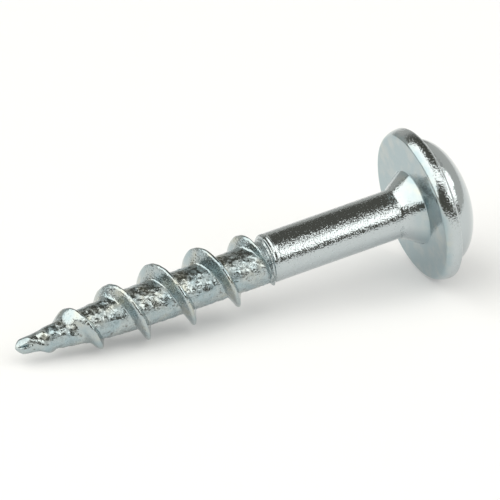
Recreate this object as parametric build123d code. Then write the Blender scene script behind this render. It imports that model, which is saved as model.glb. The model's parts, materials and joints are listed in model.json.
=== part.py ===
"""Pocket hole screw: a one-piece coarse wood screw with a flanged dome head and a square drive.

The screw is built upright about Z, with the underside of its flange at zero and its point down.
It is then laid along X, point towards -X, resting on the flange's rim and on its thread.
Lengths are in millimetres and angles in degrees. Places along the screw are measured from the
underside of the flange towards the point, unless they are said to be from the point.
"""

import os
from math import atan, cos, degrees, radians, tan

from build123d import *

# Lengths along the screw
length = 25.4
smooth_length = 9.27
shoulder_length = 0.4  # slope from the shank down to the thread's root
cone_length = 1.1  # strengthening cone under the flange

# Diameters
flange_diameter = 9.04
cone_diameter = 4.46  # where the cone meets the flange
shank_diameter = 2.87
root_diameter = 2.47
major_diameter = 4.14

# Head, above the underside
rim_height = 0.78  # widest ring of the rim
flange_thickness = 1.15
dome_height = 1.97
lower_rounding = 0.37  # from the rim in to the flat part of the underside
upper_rounding = 0.74  # from the rim in to the foot of the dome, in two slopes
upper_slope = 0.25  # width and height of the steeper one

# Square drive recess
drive_width = 2.82
drive_depth = 2.1
drive_draft = 2.0
drive_corner = 0.2
drive_floor_angle = 120.0
drive_floor_width = 0.3  # flat at the end of the floor's pyramid

# Thread, right-handed
pitch = 2.867
crest_width = 0.15
tip_flank_angle = 25.0
head_flank_angle = 21.0
crest_place = 17.34  # where a crest crosses the side that the screw lies on
thread_start = 1.2  # from the point, with the crest still inside the core
thread_end = 8.5  # with the crest inside the shank
runout_start = 12.9
runout_power = 4  # the crest falls slowly, then fast
ridge_overlap = 0.15
sections_per_turn = 12

# The rolled part sits a little off the shank's axis
roll_offset = 0.13
roll_offset_angle = -31.0  # from the side that the screw lies on

# Point, with lengths from it
core_taper_length = 8.2  # slender taper, from the root down to the knee
knee_length = 4.4  # blunter taper, from the knee down to the nose
knee_diameter = 2.08
nose_length = 0.25  # slope round the blunt end
nose_diameter = 0.9
end_diameter = 0.5
crest_taper_length = 9.2

shank_radius = shank_diameter / 2
root_radius = root_diameter / 2
major_radius = major_diameter / 2
flange_radius = flange_diameter / 2
bearing_radius = flange_radius - lower_rounding
dome_radius = flange_radius - upper_rounding
knee_radius = knee_diameter / 2
nose_radius = nose_diameter / 2
head_height = flange_thickness + dome_height
point = -length


def core_radius(from_point):
    """Radius of the threaded core, which narrows in two tapers to the nose."""
    if from_point > knee_length:
        share = min((from_point - knee_length) / (core_taper_length - knee_length), 1)
        return knee_radius + (root_radius - knee_radius) * share
    share = (from_point - nose_length) / (knee_length - nose_length)
    return nose_radius + (knee_radius - nose_radius) * share


def crest_radius(from_point):
    """Radius of the crest, which grows from the point and runs out at the shank."""
    taper = max(crest_taper_length - from_point, 0) / crest_taper_length
    runout = max(from_point - length + runout_start, 0) / (runout_start - thread_end)
    return major_radius * (1 - taper**2) - (major_radius - root_radius) * runout**runout_power


def make_blank():
    """Dome, flange, cone and smooth shank, turned about the axis."""
    foot = -smooth_length - shoulder_length
    with BuildPart() as blank:
        with BuildSketch(Plane.XZ):
            with BuildLine():
                EllipticalCenterArc((0, flange_thickness), dome_radius, dome_height)
                Polyline(
                    (0, head_height),
                    (0, foot),
                    (root_radius, foot),
                    (shank_radius, -smooth_length),
                    (shank_radius, -cone_length),
                    (cone_diameter / 2, 0),
                    (bearing_radius, 0),
                )
                EllipticalCenterArc(
                    (bearing_radius, rim_height),
                    lower_rounding,
                    rim_height,
                    start_angle=-90,
                )
                Polyline(
                    (flange_radius, rim_height),
                    (flange_radius - upper_slope, rim_height + upper_slope),
                    (dome_radius, flange_thickness),
                )
            make_face()
        revolve(axis=Axis.Z)
    return blank.part


def make_drive():
    """Square recess with drafted walls and a shallow pyramid for its floor."""
    floor_reach = (drive_width - drive_floor_width) / 2 - drive_depth * tan(radians(drive_draft))
    floor_depth = floor_reach / tan(radians(drive_floor_angle / 2))
    with BuildPart() as drive:
        with BuildSketch(Plane.XY.offset(head_height)):
            Rectangle(drive_width, drive_width)
            chamfer(vertices(), drive_corner)
        extrude(amount=-drive_depth, taper=drive_draft)
        floor = faces().sort_by(Axis.Z)[0]
        extrude(floor, amount=floor_depth, taper=drive_floor_angle / 2)
    return drive.part


def make_core():
    """Threaded core with its tapered, blunt point."""
    with BuildPart() as core:
        with BuildSketch(Plane.XZ):
            Polygon(
                (0, point),
                (end_diameter / 2, point),
                (nose_radius, point + nose_length),
                (knee_radius, point + knee_length),
                (root_radius, point + core_taper_length),
                (root_radius, -smooth_length),
                (0, -smooth_length),
                align=None,
            )
        revolve(axis=Axis.Z)
    return core.part


def ridge_section(from_point):
    """Cut through the ridge at one place on the helix: crest, two flanks and a sunk base."""
    height = from_point - length
    outward = Vector(1, 0, 0).rotate(Axis.Z, 360 * (height + crest_place) / pitch)
    crest = crest_radius(from_point)
    base = min(core_radius(from_point), crest) - ridge_overlap
    crest_top = height + crest_width / 2
    crest_bottom = height - crest_width / 2
    base_top = crest_top + (crest - base) * tan(radians(head_flank_angle))
    base_bottom = crest_bottom - (crest - base) * tan(radians(tip_flank_angle))
    axial_plane = Plane((0, 0, 0), x_dir=outward, z_dir=outward.cross(Vector(0, 0, 1)))
    outline = Polyline(
        (crest, crest_bottom),
        (crest, crest_top),
        (base, base_top),
        (base, base_bottom),
        close=True,
    )
    return axial_plane * make_face(outline)


def make_ridge():
    """Thread's ridge as lofts of up to one turn each, end to end along the helix."""
    ridge_length = length - thread_end - thread_start
    steps = round(ridge_length / pitch * sections_per_turn)
    cuts = [ridge_section(thread_start + ridge_length * step / steps) for step in range(steps + 1)]
    starts = range(0, steps, sections_per_turn)
    return [loft(cuts[start : start + sections_per_turn + 1]) for start in starts]


def make_screw():
    """Whole screw, upright, as one solid."""
    rolled = make_core().fuse(*make_ridge())
    off_axis = Vector(roll_offset, 0, 0).rotate(Axis.Z, roll_offset_angle)
    return make_blank() - make_drive() + Pos(off_axis) * rolled


def lying_tilt():
    """Angle between the axis and the surface when the rim and the first crest touch it."""
    reach = roll_offset * cos(radians(roll_offset_angle))
    place = smooth_length + (crest_place - smooth_length) % pitch
    slopes = []
    while place < length - thread_start:
        gap = flange_radius - crest_radius(length - place) - reach
        slopes.append(gap / (place + rim_height))
        place += pitch
    return degrees(atan(min(slopes)))


screw = Rot(0, 90 - lying_tilt(), 0) * make_screw()
box = screw.bounding_box()
screw = Pos(-box.center().X, -box.center().Y, -box.min.Z) * screw

os.makedirs("parts", exist_ok=True)
export_step(screw, "parts/screw.step")
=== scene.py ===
import json
from math import atan2, cos, exp, pi, radians, sin, sqrt, tan
import bmesh
import bpy
from mathutils import Matrix, Vector, noise


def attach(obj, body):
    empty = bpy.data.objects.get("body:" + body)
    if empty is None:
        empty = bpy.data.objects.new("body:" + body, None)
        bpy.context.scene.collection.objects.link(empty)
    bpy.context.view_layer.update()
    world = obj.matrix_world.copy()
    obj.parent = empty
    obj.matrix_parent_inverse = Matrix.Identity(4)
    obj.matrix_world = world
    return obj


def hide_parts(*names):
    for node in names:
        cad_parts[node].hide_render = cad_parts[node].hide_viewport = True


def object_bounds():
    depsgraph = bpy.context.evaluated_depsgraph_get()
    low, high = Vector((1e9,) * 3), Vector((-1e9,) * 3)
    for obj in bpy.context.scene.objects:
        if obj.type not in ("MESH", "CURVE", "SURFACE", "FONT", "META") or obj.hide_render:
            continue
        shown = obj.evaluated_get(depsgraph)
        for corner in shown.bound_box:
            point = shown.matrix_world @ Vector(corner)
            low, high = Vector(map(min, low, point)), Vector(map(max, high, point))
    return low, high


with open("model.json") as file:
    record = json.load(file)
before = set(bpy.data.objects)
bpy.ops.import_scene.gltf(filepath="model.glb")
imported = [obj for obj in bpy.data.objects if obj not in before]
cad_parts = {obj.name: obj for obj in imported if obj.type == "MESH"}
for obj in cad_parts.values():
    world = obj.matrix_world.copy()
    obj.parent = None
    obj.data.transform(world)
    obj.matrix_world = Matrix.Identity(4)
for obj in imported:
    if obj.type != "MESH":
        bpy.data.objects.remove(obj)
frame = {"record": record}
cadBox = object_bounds()
print("frame loaded")

# The screw is made upright in millimetres, with the underside of its flange at zero and its point down.
# A fade is a pair of places, measured from the point, between which something comes in or goes out.
# A span is such a pair of heights, measured from the underside of the flange. Fades and spans are two
# such pairs: the first is where something comes in, and the second where it goes out.
screw = {
    "length": 25.4,  # from the underside of the flange to the point
    "smoothLength": 9.27,
    "shoulderLength": 0.4,  # slope from the shank down to the root
    "shankRadius": 1.435,
    "rootRadius": 1.235,
    "majorRadius": 2.07,
    # head, above the underside
    "flangeRadius": 4.514,
    "rimHeight": 0.78,
    "flangeThickness": 1.09,
    "lowerRounding": 0.37,
    "upperRounding": 0.72,
    "domeHeight": 2.02,
    "domeFullness": 2.03,  # 2 is an ellipse
    "domeOffset": 0.045,  # to the same side as the rolled part
    "domeOffsetHeight": 0.3,  # in which the offset comes in
    "valleyRadius": 0.1,
    # cone under the flange
    "coneLength": 1.16,
    "coneRadius": 2.23,
    "coneFillet": 0.4,
    "footFillet": 0.12,
    # square recess
    "driveHalf": 1.41,
    "driveCorner": 0.3,
    "driveDepth": 2.1,
    "driveDraft": radians(2),
    # rounding of its mouth: how much wider, rounder and deeper each ring is
    "mouthRings": [(0.12, 0.1, 0), (0.05, 0.04, 0.008), (0.012, 0.01, 0.05), (0, 0, 0.1)],
    "floorBevel": (0.03, 0.02),  # width and height
    "floorDepth": 0.7,  # of the pyramid that is the floor
    "floorTip": (0.15, 0.1, 0.02),  # half width, corner and depth of the pyramid's blunt tip
    # thread
    "pitch": 2.867,
    "crestPlace": 17.325,  # where a crest crosses the side that the screw lies on
    "crestHalfWidth": 0.09,
    "crestRounding": 0.13,
    "crestTaper": 9.2,  # from the point, where the crest reaches its full radius
    "crestSlant": 0.02,  # the crest is lower on the side that the offset is towards
    "tipFlank": radians(23),
    "headFlank": radians(21),
    "rootFillet": 0.1,
    # towards the point the crest is blunter, and the flank on its tip side leans more
    "bluntFade": (2.5, 8),
    "bluntWidth": 0.08,
    "bluntRounding": 0.2,
    "flankLean": radians(18),
    # where it starts the crest is wider and nearer to the point, and the flank on its head side leans more
    "startFade": (1.8, 3.4),
    "startWidth": 0.04,
    "startShift": 0.18,
    "startFillet": 0.18,
    "startFilletFade": (2, 6),
    # where it runs out the crest is rounder, and the end of the dies presses the last half turn together
    "runoutStart": 12.9,
    "runoutEnd": 8.5,
    "runoutPower": 4,
    "runoutFade": (12.6, 14.8),
    "runoutRounding": 0.15,
    "squeeze": 0.42,
    "squeezeSpan": (-10.4, -8.99),
    # the rolled part sits a little off the axis, but its point is nearly on it
    "offset": 0.13,
    "offsetAngle": radians(-31),
    "offsetFade": (-2, 2.8),
    # point: places from it with the core's radius there
    "coreTaper": [
        (0, 0.44), (0.6, 0.465), (1.2, 0.51), (2.2, 0.68), (4.3, 0.98), (6.2, 1.14), (8.2, 1.235),
    ],
    "noseLength": 0.6,
    "noseReach": 0.5,
    "noseRoundness": 1.9,
    # flat on the nose
    "noseFlatAngle": radians(-160),
    "noseFlatHalfWidth": radians(38),
    "noseFlatDepth": 0.6,  # share of the radius
    "noseFlatLength": 0.9,
    # seams where the pointing dies met
    "seamAngles": (radians(-118), radians(60)),
    "seamDepth": 0.15,
    "seamHalfWidth": 0.07,
    "seamFades": ((0.1, 0.3), (0.7, 1.1)),
    # small lumps where the thread starts: angle round the axis, place from the point, height and reach
    "startLumps": [
        (radians(-152), 1.75, 0.16, 0.22),
        (radians(-138), 2.42, 0.15, 0.2),
        (radians(-160), 1.0, 0.05, 0.25),
    ],
    # dents in the crest: height, depth and reach
    "crestDents": [
        (-9.8, 0.3, 0.5),
        (-11.85, 0.1, 0.35),
        (-19.02, 0.11, 0.45),
        (-20.5, 0.02, 0.3),
        (-23.3, -0.05, 0.7),
    ],
    # marks that the rolling dies leave
    "wobbleDepth": 0.03,
    "wobbleRate": (1.5, 0.7),  # round the axis and along it
    "rootMargin": 0.15,  # how far below and above the core's surface the root's marks fade
    "dimpleDepth": 0.036,
    "dimpleSize": 0.32,
    "dimpleFade": (0.8, 3.2),
    "finerDimples": 2.1,  # a second set is this much finer and half as deep
    "lumpDepth": 0.05,  # near the point
    "lumpSize": 0.55,
    "lumpFade": (1.5, 5),
    "flankDepth": 0.03,
    "flankSize": 0.45,
    # fine rings round the shoulder
    "grooveSpacing": 0.17,
    "grooveSpans": ((-9.9, -9.7), (-9.2, -8.9)),
    # where the finish changes
    "threadSpan": (-10.2, -8.9),
    "undersideSpans": ((-0.5, -0.05), (0, 0.5)),
    "domeSpan": (1.15, 1.5),
    "domeSmoothness": 0.8,
}
domeRadius = screw["flangeRadius"] - screw["upperRounding"]
faceRadius = screw["flangeRadius"] - screw["lowerRounding"]
offsetWay = Vector((cos(screw["offsetAngle"]), sin(screw["offsetAngle"]), 0))

# How the mesh is divided
mesh = {
    "turnSteps": 180,
    "turns": 8,
    "turnsBelow": 5,  # from the crest's place to the lowest row
    "ridgeRows": 30,
    "rootRows": 28,
    "ridgeShare": 0.36,  # of the pitch
    "cutPlace": 8.3,  # where the rolled part meets the turned part
    "joinGap": 0.06,
    "shankRings": 9,
    "shankSpacing": 0.75,
    "coneRows": 8,
    "footRows": 6,
    "faceRings": (3.0, 3.6),
    "faceMargin": 0.1,
    "rimArc": (-90, 0),  # in degrees
    "rimRows": 16,
    "upperArc": (6, 84),
    "upperRows": 12,
    "valleyRows": 5,
    "domeStart": 7,  # in degrees
    "domeStep": 2.1,
    "domeRings": 24,
    "noseRings": 12,
    "turnMerge": 0.001,
    "merge": 0.0005,
    "ringTolerance": 0.01,
    "sharpAngle": radians(38),
}


def smoothStep(low, high, value):
    share = min(max((value - low) / (high - low), 0), 1)
    return share * share * (3 - 2 * share)


# Share that comes in over the first pair and goes out over the second
def window(pairs, value):
    start, end = pairs
    return smoothStep(*start, value) * (1 - smoothStep(*end, value))


# The greater of two values, with a fillet where they meet
def smoothMax(first, second, reach):
    near = max(reach - abs(first - second), 0) / reach
    return max(first, second) + near * near * reach / 4


def turnApart(angle, other):
    return (angle - other + pi) % (2 * pi) - pi


def coreRadius(fromPoint):
    radius = screw["rootRadius"]
    for (near, nearRadius), (far, farRadius) in zip(screw["coreTaper"], screw["coreTaper"][1:]):
        if near <= fromPoint < far:
            radius = nearRadius + (farRadius - nearRadius) * (fromPoint - near) / (far - near)
    return radius


def crestRadius(fromPoint):
    taper = max(screw["crestTaper"] - fromPoint, 0) / screw["crestTaper"]
    runoutLength = screw["runoutStart"] - screw["runoutEnd"]
    runout = max(fromPoint - screw["length"] + screw["runoutStart"], 0) / runoutLength
    fall = (screw["majorRadius"] - screw["rootRadius"]) * runout ** screw["runoutPower"]
    return screw["majorRadius"] * (1 - taper**2) - fall


# The squeeze is over where the rolled part ends
def squeezed(height):
    span = screw["squeezeSpan"]
    return height - screw["squeeze"] * window((span, (span[1], -mesh["cutPlace"])), height)


def shankShare(height):
    return smoothStep(-screw["smoothLength"] - screw["shoulderLength"], -screw["smoothLength"], height)


# How far the crest's rounding and the flanks lie below the crest
def ridgeDrop(angle, height):
    pitch = screw["pitch"]
    fromPoint = height + screw["length"]
    blunt = 1 - smoothStep(*screw["bluntFade"], fromPoint)
    start = 1 - smoothStep(*screw["startFade"], fromPoint)
    end = smoothStep(*screw["runoutFade"], fromPoint)
    along = height - pitch * angle / (2 * pi) + screw["crestPlace"] + screw["startShift"] * start
    along = (along + pitch / 2) % pitch - pitch / 2
    flank = screw["headFlank"] + screw["flankLean"] * start
    if along < 0:
        flank = screw["tipFlank"] + screw["flankLean"] * blunt
    halfWidth = screw["crestHalfWidth"] + screw["bluntWidth"] * blunt + screw["startWidth"] * start
    rounding = screw["crestRounding"] + screw["bluntRounding"] * blunt + screw["runoutRounding"] * end
    return smoothMax(0, (abs(along) - halfWidth) / tan(flank), rounding)


def crestDent(height):
    dents = screw["crestDents"]
    return sum(depth * exp(-(((height - place) / reach) ** 2)) for place, depth, reach in dents)


def crestWobble(angle, height):
    around, along = screw["wobbleRate"]
    place = Vector((cos(angle) * around, sin(angle) * around, height * along))
    return screw["wobbleDepth"] * noise.noise(place)


# Radius of the core and its ridge, and how much of the root's marks it has
def rolledRadius(angle, height):
    fromPoint = height + screw["length"]
    shoulder = shankShare(squeezed(height))
    core = coreRadius(fromPoint) + (screw["shankRadius"] - screw["rootRadius"]) * shoulder
    slant = screw["crestSlant"] * (1 + cos(angle - screw["offsetAngle"]))
    ridge = crestRadius(fromPoint) + crestWobble(angle, height) - slant - crestDent(height)
    ridge -= ridgeDrop(angle, height)
    fillet = screw["rootFillet"]
    fillet += screw["startFillet"] * (1 - smoothStep(*screw["startFilletFade"], fromPoint))
    rootShare = 1 - smoothStep(-screw["rootMargin"], screw["rootMargin"], ridge - core)
    return smoothMax(core, ridge, fillet), rootShare * (1 - shoulder)


def rollingMarks(place, fromPoint):
    dimples = noise.noise(place / screw["dimpleSize"])
    finer = noise.noise(place / screw["dimpleSize"] * screw["finerDimples"])
    lumps = noise.noise(place / screw["lumpSize"]) * (1 - smoothStep(*screw["lumpFade"], fromPoint))
    depth = screw["dimpleDepth"] * (dimples + finer / 2) + screw["lumpDepth"] * lumps
    return depth * smoothStep(*screw["dimpleFade"], fromPoint)


def noseFlatShare(angle, fromPoint):
    aside = turnApart(angle, screw["noseFlatAngle"]) / screw["noseFlatHalfWidth"]
    along = 1 - smoothStep(0, screw["noseFlatLength"], fromPoint)
    return 1 - screw["noseFlatDepth"] * exp(-(aside**2)) * along


def seamDepthAt(angle, fromPoint, radius):
    depth = 0
    for seam in screw["seamAngles"]:
        depth += exp(-((turnApart(angle, seam) * radius / screw["seamHalfWidth"]) ** 2))
    return screw["seamDepth"] * window(screw["seamFades"], fromPoint) * depth


def startLump(angle, fromPoint, radius):
    total = 0
    for place, along, height, reach in screw["startLumps"]:
        away = (turnApart(angle, place) * radius) ** 2 + (fromPoint - along) ** 2
        total += height * exp(-away / reach**2)
    return total


def makeRolledPart():
    part = bmesh.new()
    pitch = screw["pitch"]
    ridge = mesh["ridgeShare"] * pitch
    rootStart = -screw["crestPlace"] + ridge / 2 - pitch * mesh["turnsBelow"]
    ridgeStart = rootStart + pitch - ridge
    heights = [rootStart + (pitch - ridge) * i / mesh["rootRows"] for i in range(mesh["rootRows"])]
    heights += [ridgeStart + ridge * i / mesh["ridgeRows"] for i in range(mesh["ridgeRows"] + 1)]
    chain = [part.verts.new((1, 0, height)) for height in heights]
    edges = [part.edges.new(pair) for pair in zip(chain, chain[1:])]
    bmesh.ops.spin(
        part,
        geom=chain + edges,
        axis=(0, 0, 1),
        dvec=(0, 0, pitch / mesh["turnSteps"]),
        angle=2 * pi,
        steps=mesh["turnSteps"],
    )
    oneTurn = part.verts[:] + part.edges[:] + part.faces[:]
    for turn in range(1, mesh["turns"]):
        copied = bmesh.ops.duplicate(part, geom=oneTurn)["geom"]
        verts = [item for item in copied if isinstance(item, bmesh.types.BMVert)]
        bmesh.ops.translate(part, verts=verts, vec=(0, 0, pitch * turn))
    bmesh.ops.remove_doubles(part, verts=part.verts, dist=mesh["turnMerge"])
    cutAway(part, -mesh["cutPlace"], 1)
    cutAway(part, screw["noseLength"] - screw["length"], -1)
    return part


def cutAway(part, height, side):
    bmesh.ops.bisect_plane(
        part,
        geom=part.verts[:] + part.edges[:] + part.faces[:],
        dist=mesh["merge"],
        plane_co=(0, 0, height),
        plane_no=(0, 0, side),
        clear_outer=True,
    )


def openEdges(part, height):
    reach = mesh["ringTolerance"]
    return [e for e in part.edges if e.is_boundary and all(abs(v.co.z - height) < reach for v in e.verts)]


def extrudeRing(part, edges):
    grown = bmesh.ops.extrude_edge_only(part, edges=edges)["geom"]
    ring = [g for g in grown if isinstance(g, bmesh.types.BMVert)]
    return ring, [g for g in grown if isinstance(g, bmesh.types.BMEdge) and g.is_boundary]


def closeRing(part, edges, height):
    ring = extrudeRing(part, edges)[0]
    bmesh.ops.pointmerge(part, verts=ring, merge_co=(0, 0, height))


def closeNose(part):
    noseTop = screw["noseLength"] - screw["length"]
    edges = openEdges(part, noseTop)
    for step in range(1, mesh["noseRings"]):
        turn = step / mesh["noseRings"] * pi / 2
        ring, edges = extrudeRing(part, edges)
        for vert in ring:
            flat = Vector((vert.co.x, vert.co.y)).normalized() * cos(turn) ** screw["noseRoundness"]
            vert.co = (flat.x, flat.y, noseTop - screw["noseReach"] * sin(turn))
    closeRing(part, edges, noseTop - screw["noseReach"])


def shapeRolledPart(part):
    rootMark = part.verts.layers.float.new("rolled")
    grooveMark = part.verts.layers.float.new("grooved")
    turnMark = part.verts.layers.float.new("grooveTurn")
    for vert in part.verts:
        share = Vector((vert.co.x, vert.co.y)).length  # of the radius, which the nose's rings don't reach
        angle = atan2(vert.co.y, vert.co.x)
        fromPoint = vert.co.z + screw["length"]
        height = squeezed(vert.co.z)
        threaded = 1 - shankShare(height)
        outward = Vector((cos(angle), sin(angle), 0))
        radius, root = rolledRadius(angle, vert.co.z)
        place = outward * radius + Vector((0, 0, height))
        radius += rollingMarks(place, fromPoint) * root
        radius *= noseFlatShare(angle, fromPoint)
        radius -= seamDepthAt(angle, fromPoint, radius)
        radius += startLump(angle, fromPoint, radius)
        radius += screw["flankDepth"] * noise.noise(place / screw["flankSize"]) * (1 - root) * threaded
        vert[rootMark] = root
        vert[grooveMark] = window(screw["grooveSpans"], height)
        vert[turnMark] = vert.co.z / screw["grooveSpacing"] * 2 * pi
        offset = screw["offset"] * threaded * smoothStep(*screw["offsetFade"], fromPoint)
        vert.co = outward * radius * share + offsetWay * offset + Vector((0, 0, height))


def arcPoints(centre, radii, arc, count):
    start, end = arc
    angles = [radians(start + (end - start) * i / count) for i in range(count + 1)]
    return [(centre[0] + radii[0] * cos(a), centre[1] + radii[1] * sin(a)) for a in angles]


def filletPoints(before, corner, after, radius, count):
    one = (Vector(before) - Vector(corner)).normalized()
    two = (Vector(after) - Vector(corner)).normalized()
    half = one.angle(two) / 2
    centre = Vector(corner) + (one + two).normalized() * radius / sin(half)
    first = Vector(corner) + one * radius / tan(half) - centre
    last = Vector(corner) + two * radius / tan(half) - centre
    return [tuple(centre + first.slerp(last, i / count) * radius) for i in range(count + 1)]


def domeHeightAt(radius):
    share = 1 - min(radius / domeRadius, 1) ** screw["domeFullness"]
    return screw["flangeThickness"] + screw["domeHeight"] * share ** (1 / screw["domeFullness"])


def shankProfile():
    radius = screw["shankRadius"]
    start = mesh["joinGap"] - mesh["cutPlace"]
    rings = [(radius, start + mesh["shankSpacing"] * ring) for ring in range(mesh["shankRings"])]
    shank = (radius, -screw["coneLength"])
    foot = (screw["coneRadius"], 0)
    cone = filletPoints(rings[-1], shank, foot, screw["coneFillet"], mesh["coneRows"])
    return rings + cone + filletPoints(shank, foot, (faceRadius, 0), screw["footFillet"], mesh["footRows"])


def flangeProfile():
    rim = screw["rimHeight"]
    top = screw["flangeThickness"]
    profile = [(radius, 0) for radius in (*mesh["faceRings"], faceRadius - mesh["faceMargin"])]
    profile += arcPoints((faceRadius, rim), (screw["lowerRounding"], rim), mesh["rimArc"], mesh["rimRows"])
    radii = (screw["upperRounding"], top - rim)
    profile += arcPoints((domeRadius, rim), radii, mesh["upperArc"], mesh["upperRows"])
    valley = (domeRadius, top)
    outward = (domeRadius + 1, top)
    upward = (domeRadius, top + 1)
    return profile + filletPoints(outward, valley, upward, screw["valleyRadius"], mesh["valleyRows"])


def domeProfile():
    turns = [radians(mesh["domeStart"] + mesh["domeStep"] * ring) for ring in range(mesh["domeRings"])]
    rings = [domeRadius * cos(turn) ** (2 / screw["domeFullness"]) for turn in turns]
    return [(radius, domeHeightAt(radius)) for radius in rings]


def makeTurnedPart():
    part = bmesh.new()
    profile = shankProfile() + flangeProfile() + domeProfile()
    chain = [part.verts.new((radius, 0, height)) for radius, height in profile]
    edges = [part.edges.new(pair) for pair in zip(chain, chain[1:])]
    bmesh.ops.spin(
        part,
        geom=chain + edges,
        axis=(0, 0, 1),
        angle=2 * pi,
        steps=mesh["turnSteps"],
        use_merge=True,
    )
    bmesh.ops.remove_doubles(part, verts=part.verts, dist=mesh["merge"])
    return part


# How far a square with rounded corners reaches in one direction
def squareReach(angle, half, corner):
    inOctant = abs((angle + pi / 4) % (pi / 2) - pi / 4)
    inner = half - corner
    if half * tan(inOctant) < inner:
        return half / cos(inOctant)
    along = inner * (cos(inOctant) + sin(inOctant))
    across = inner * (cos(inOctant) - sin(inOctant))
    return along + sqrt(max(corner**2 - across**2, 0))


def extrudeSquare(part, edges, half, corner, heightAt):
    ring, edges = extrudeRing(part, edges)
    for vert in ring:
        angle = atan2(vert.co.y, vert.co.x)
        reach = squareReach(angle, half, corner)
        vert.co = (reach * cos(angle), reach * sin(angle), heightAt(reach))
    return edges


def cutRecess(part):
    half = screw["driveHalf"]
    corner = screw["driveCorner"]
    narrow = half - screw["driveDepth"] * tan(screw["driveDraft"])
    floor = screw["flangeThickness"] + screw["domeHeight"] - screw["driveDepth"]
    bevelWidth, bevelHeight = screw["floorBevel"]
    tipHalf, tipCorner, tipDepth = screw["floorTip"]
    tip = floor - screw["floorDepth"]
    edges = openEdges(part, max(v.co.z for v in part.verts))
    for wider, rounder, deeper in screw["mouthRings"]:
        edges = extrudeSquare(
            part, edges, half + wider, corner + rounder, lambda reach: domeHeightAt(reach) - deeper
        )
    edges = extrudeSquare(part, edges, narrow, corner, lambda reach: floor + bevelHeight)
    edges = extrudeSquare(part, edges, narrow - bevelWidth, corner, lambda reach: floor)
    edges = extrudeSquare(part, edges, tipHalf, tipCorner, lambda reach: tip)
    closeRing(part, edges, tip - tipDepth)


def leanDome(part):
    foot = screw["flangeThickness"]
    for vert in part.verts:
        if Vector((vert.co.x, vert.co.y)).length < domeRadius + mesh["ringTolerance"]:
            share = smoothStep(foot, foot + screw["domeOffsetHeight"], vert.co.z)
            vert.co += offsetWay * screw["domeOffset"] * share


def joinParts(rolled, turned):
    carrier = bpy.data.meshes.new("carrier")
    turned.to_mesh(carrier)
    rolled.from_mesh(carrier)
    bpy.data.meshes.remove(carrier)
    bmesh.ops.bridge_loops(rolled, edges=[e for e in rolled.edges if e.is_boundary])
    bmesh.ops.remove_doubles(rolled, verts=rolled.verts, dist=mesh["merge"])
    bmesh.ops.recalc_face_normals(rolled, faces=rolled.faces)


# Shares that the finish reads: the blue tint and the smoother, pressed surface
def markFinish(part):
    bluedMark = part.verts.layers.float.new("blued")
    pressedMark = part.verts.layers.float.new("pressed")
    for vert in part.verts:
        height = vert.co.z
        thread = 1 - smoothStep(*screw["threadSpan"], height)
        underside = window(screw["undersideSpans"], height)
        dome = smoothStep(*screw["domeSpan"], height)
        vert[bluedMark] = max(thread, underside)
        vert[pressedMark] = max(underside, dome * screw["domeSmoothness"])


def layDown(part):
    # The seat's mount gives the place and the slope of the lying screw
    seat = next(mount for mount in frame["record"]["mounts"] if mount["name"] == "seat")
    towardsHead = -Vector(seat["axis"])
    lay = Matrix.Rotation(atan2(towardsHead.x, towardsHead.z), 4, "Y")
    place = Matrix.Translation((seat["pos_m"][0], 0, seat["pos_m"][2])) @ lay @ Matrix.Scale(0.001, 4)
    bmesh.ops.transform(part, matrix=place, verts=part.verts)


def makeScrew():
    rolled = makeRolledPart()
    closeNose(rolled)
    shapeRolledPart(rolled)
    turned = makeTurnedPart()
    cutRecess(turned)
    leanDome(turned)
    joinParts(rolled, turned)
    markFinish(rolled)
    layDown(rolled)
    openCount = sum(not edge.is_manifold for edge in rolled.edges)
    print("screw has", len(rolled.verts), "points;", openCount, "open edges")
    data = bpy.data.meshes.new("pocketHoleScrew")
    rolled.to_mesh(data)
    rolled.free()
    turned.free()
    for face in data.polygons:
        face.use_smooth = True
    data.set_sharp_from_angle(angle=mesh["sharpAngle"])
    piece = bpy.data.objects.new("pocketHoleScrew", data)
    bpy.context.scene.collection.objects.link(piece)
    return piece


# Sizes and depths of the finish are in metres
zinc = {
    # tints of the thread and the underside of the flange, each with its place in the cloud
    "tints": [
        (0.35, (0.37, 0.455, 0.48, 1)),  # blue
        (0.55, (0.45, 0.5, 0.5, 1)),  # pale
        (0.7, (0.5, 0.52, 0.465, 1)),  # yellowed
    # painted shade: dark grey put into the pits of the root's dimples
    ],
    "plain": (0.512, 0.556, 0.57, 1),  # shank, rim and dome
    "pitShade": (0.2, 0.2, 0.19, 1),
    "cloudSize": 0.0009,
    "cloudDetail": 3,
    "roughness": 0.1,
    "rootRoughness": 0.42,  # in patches
    "patches": (0.47, 0.61),  # where the dimples' noise makes the root rough
    "pits": (0.42, 0.3),  # and where painted shade darkens its pits
    "dimpleSize": 0.0003,
    "dimpleDetail": 4,
    "dimpleRoughness": 0.62,
    "dimpleDepth": 0.00002,
    "grooveDepth": 0.00002,
    "grainSize": 0.0001,
    "grainDepth": 0.000017,
    "grainRoughness": 0.22,
    "grainSpecks": (0.58, 0.68),  # where the grain's noise is rough
    "pressedBlue": 0.1,  # the underside of the flange is this much bluer
    "pressedGrain": 0.3,  # share of the grain that is left on the underside of the flange, and on the dome
}


def addNode(tree, kind, **values):
    node = tree.nodes.new(kind)
    for key, value in values.items():
        if key not in node.inputs:
            setattr(node, key, value)
        elif isinstance(value, bpy.types.NodeSocket):
            tree.links.new(value, node.inputs[key])
        else:
            node.inputs[key].default_value = value
    return node


def addMath(tree, operation, *values):
    node = addNode(tree, "ShaderNodeMath", operation=operation)
    for socket, value in zip(node.inputs, values):
        if isinstance(value, bpy.types.NodeSocket):
            tree.links.new(value, socket)
        else:
            socket.default_value = value
    return node.outputs["Value"]


def addRange(tree, value, low, high, lowResult=0, highResult=1):
    ends = {"From Min": low, "From Max": high, "To Min": lowResult, "To Max": highResult}
    return addNode(tree, "ShaderNodeMapRange", Value=value, **ends).outputs["Result"]


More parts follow.
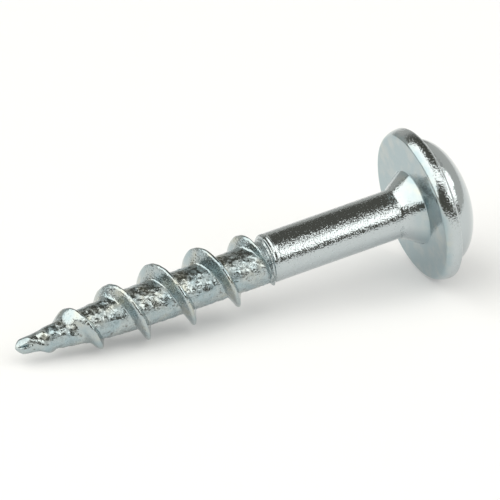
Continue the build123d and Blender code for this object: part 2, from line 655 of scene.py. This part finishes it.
def addNoise(tree, place, size, detail, roughness=0.5):
    values = {"Vector": place, "Scale": 1 / size, "Detail": detail, "Roughness": roughness}
    return addNode(tree, "ShaderNodeTexNoise", **values).outputs["Fac"]


def addBump(tree, height, depth, **under):
    return addNode(tree, "ShaderNodeBump", Height=height, Distance=depth, **under).outputs["Normal"]


def addMix(tree, share, first, second):
    mix = addNode(tree, "ShaderNodeMix", data_type="RGBA", Factor=share, A=first, B=second)
    return mix.outputs["Result"]


def addTints(tree, share):
    ramp = addNode(tree, "ShaderNodeValToRGB", Fac=share)
    elements = ramp.color_ramp.elements
    for index, (position, colour) in enumerate(zinc["tints"]):
        element = elements[index] if index < len(elements) else elements.new(position)
        element.position = position
        element.color = colour
    return ramp.outputs["Color"]


def zincColour(tree, place, marks, dimples):
    cloud = addNoise(tree, place, zinc["cloudSize"], zinc["cloudDetail"])
    bluer = addMath(tree, "MULTIPLY_ADD", marks["pressed"], -zinc["pressedBlue"], cloud)
    plating = addMix(tree, marks["blued"], zinc["plain"], addTints(tree, bluer))
    # painted shade: the low places of the dimples' noise on the root are mixed towards a dark grey
    pits = addRange(tree, dimples, *zinc["pits"])
    return addMix(tree, addMath(tree, "MULTIPLY", pits, marks["rolled"]), plating, zinc["pitShade"])


def zincRoughness(tree, marks, dimples, grain, grainShare):
    patches = addMath(tree, "MULTIPLY", addRange(tree, dimples, *zinc["patches"]), marks["rolled"])
    gloss = addRange(tree, patches, 0, 1, zinc["roughness"], zinc["rootRoughness"])
    specks = addRange(tree, grain, *zinc["grainSpecks"], 0, zinc["grainRoughness"])
    return addMath(tree, "ADD", gloss, addMath(tree, "MULTIPLY", specks, grainShare))


def zincNormal(tree, marks, dimples, grain, grainShare):
    rolled = addMath(tree, "MULTIPLY", dimples, marks["rolled"])
    grooves = addMath(tree, "MULTIPLY", addMath(tree, "SINE", marks["grooveTurn"]), marks["grooved"])
    coarse = addBump(tree, rolled, zinc["dimpleDepth"])
    ringed = addBump(tree, grooves, zinc["grooveDepth"], Normal=coarse)
    return addBump(tree, addMath(tree, "MULTIPLY", grain, grainShare), zinc["grainDepth"], Normal=ringed)


def makeZinc():
    material = bpy.data.materials.new("brightZinc")
    material.use_nodes = True
    tree = material.node_tree
    shader = tree.nodes["Principled BSDF"]
    place = addNode(tree, "ShaderNodeTexCoord").outputs["Object"]
    marks = {}
    for name in ("rolled", "grooved", "grooveTurn", "blued", "pressed"):
        marks[name] = addNode(tree, "ShaderNodeAttribute", attribute_name=name).outputs["Fac"]
    dimples = addNoise(tree, place, zinc["dimpleSize"], zinc["dimpleDetail"], zinc["dimpleRoughness"])
    grain = addNoise(tree, place, zinc["grainSize"], 1)
    grainShare = addRange(tree, marks["pressed"], 0, 1, 1, zinc["pressedGrain"])
    shader.inputs["Metallic"].default_value = 1
    tree.links.new(zincColour(tree, place, marks, dimples), shader.inputs["Base Color"])
    tree.links.new(zincRoughness(tree, marks, dimples, grain, grainShare), shader.inputs["Roughness"])
    tree.links.new(zincNormal(tree, marks, dimples, grain, grainShare), shader.inputs["Normal"])
    return material


studio = {
    "floorColour": (0.68, 0.68, 0.68, 1),
    "floorRoughness": 0.9,
    "floorGlow": 0.2,
    "floorReach": 3.0,
    "floorSides": 96,
    "backdrop": (0.95, 0.95, 0.95, 1),
    "gloom": (0.115, 0.112, 0.096, 1),  # what the metal reflects between the lights
    "lightColour": (1, 0.995, 0.96),
    # name, shape, place, width, height and brightness of each soft light; all of them face the screw
    "lights": [
        ("front", "ELLIPSE", (0.275, -0.43, 0.34), 0.47, 0.41, 1.95),
        ("upper", "ELLIPSE", (-0.01, -0.27, 0.5), 0.24, 0.27, 2.0),
        ("crown", "ELLIPSE", (0.395, -0.155, 0.47), 0.22, 0.4, 2.0),
        ("left", "RECTANGLE", (-0.5, 0.07, 0.48), 1.1, 0.98, 1.85),
        ("right", "RECTANGLE", (0.56, 0.05, 0.25), 1.5, 0.62, 0.5),
        ("back", "RECTANGLE", (-0.05, 0.6, 0.17), 0.9, 0.34, 0.43),
    ],
    # one more that only lights the floor
    "fill": ("fill", "RECTANGLE", (0, 0.1, 0.9), 1.2, 1.2, 0.6),
}


def makeFloor():
    floor = bmesh.new()
    reach = studio["floorReach"]
    bmesh.ops.create_circle(floor, cap_ends=True, radius=reach, segments=studio["floorSides"])
    data = bpy.data.meshes.new("floor")
    floor.to_mesh(data)
    floor.free()
    ground = bpy.data.objects.new("floor", data)
    bpy.context.scene.collection.objects.link(ground)
    material = bpy.data.materials.new("paleFloor")
    material.use_nodes = True
    shader = material.node_tree.nodes["Principled BSDF"]
    shader.inputs["Base Color"].default_value = studio["floorColour"]
    shader.inputs["Roughness"].default_value = studio["floorRoughness"]
    shader.inputs["Specular IOR Level"].default_value = 0
    shader.inputs["Emission Color"].default_value = (1, 1, 1, 1)
    shader.inputs["Emission Strength"].default_value = studio["floorGlow"]
    data.materials.append(material)


def makeWorld():
    world = bpy.data.worlds.new("studio")
    bpy.context.scene.world = world
    world.use_nodes = True
    tree = world.node_tree
    tree.nodes.clear()
    gloom = addNode(tree, "ShaderNodeBackground", Color=studio["gloom"])
    plain = addNode(tree, "ShaderNodeBackground", Color=studio["backdrop"])
    rays = addNode(tree, "ShaderNodeLightPath")
    choose = addNode(tree, "ShaderNodeMixShader", Fac=rays.outputs["Is Camera Ray"])
    tree.links.new(gloom.outputs["Background"], choose.inputs[1])
    tree.links.new(plain.outputs["Background"], choose.inputs[2])
    addNode(tree, "ShaderNodeOutputWorld", Surface=choose.outputs["Shader"])


def makeLight(name, shape, place, width, height, brightness):
    data = bpy.data.lights.new(name, "AREA")
    data.shape = shape
    data.size = width
    data.size_y = height
    data.color = studio["lightColour"]
    area = width * height * (pi / 4 if shape == "ELLIPSE" else 1)
    data.energy = brightness * pi * area
    light = bpy.data.objects.new(name, data)
    turn = Vector(place).to_track_quat("Z", "Y").to_matrix().to_4x4()
    light.matrix_world = Matrix.Translation(place) @ turn
    light.visible_camera = False
    bpy.context.scene.collection.objects.link(light)
    return light


def makeLights():
    for values in studio["lights"]:
        makeLight(*values)
    fill = makeLight(*studio["fill"])
    fill.visible_glossy = False


view = {
    "azimuth": radians(-26.483),
    "elevation": radians(27.187),
    "roll": radians(0.19),
    "pixelsPerMetre": 17653,
    "boxCentrePixel": (238.32, 244.84),
    "frameWidth": 500,
    "sensorWidth": 36,
    "distance": 0.7,
}


def makeCamera():
    centre = (cadBox[0] + cadBox[1]) / 2
    azimuth, elevation = view["azimuth"], view["elevation"]
    back = Vector((sin(azimuth) * cos(elevation), -cos(azimuth) * cos(elevation), sin(elevation)))
    right = Vector((cos(azimuth), sin(azimuth), 0))
    up = back.cross(right)
    middle = view["frameWidth"] / 2
    aside = (middle - view["boxCentrePixel"][0]) / view["pixelsPerMetre"]
    above = (view["boxCentrePixel"][1] - middle) / view["pixelsPerMetre"]
    data = bpy.data.cameras.new("camera")
    data.sensor_width = view["sensorWidth"]
    data.lens = data.sensor_width * view["distance"] * view["pixelsPerMetre"] / view["frameWidth"]
    data.dof.use_dof = False
    camera = bpy.data.objects.new("camera", data)
    target = centre + right * aside + up * above
    turn = Matrix((right, up, back)).transposed().to_4x4() @ Matrix.Rotation(view["roll"], 4, "Z")
    camera.matrix_world = Matrix.Translation(target + back * view["distance"]) @ turn
    bpy.context.scene.collection.objects.link(camera)
    bpy.context.scene.camera = camera


makeCamera()
makeWorld()
makeLights()
makeFloor()
bpy.context.scene.view_settings.view_transform = "Standard"
print("camera, light and floor are in place")

piece = makeScrew()
piece.data.materials.append(makeZinc())
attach(piece, "root")
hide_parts("screw")
print("screw is made")
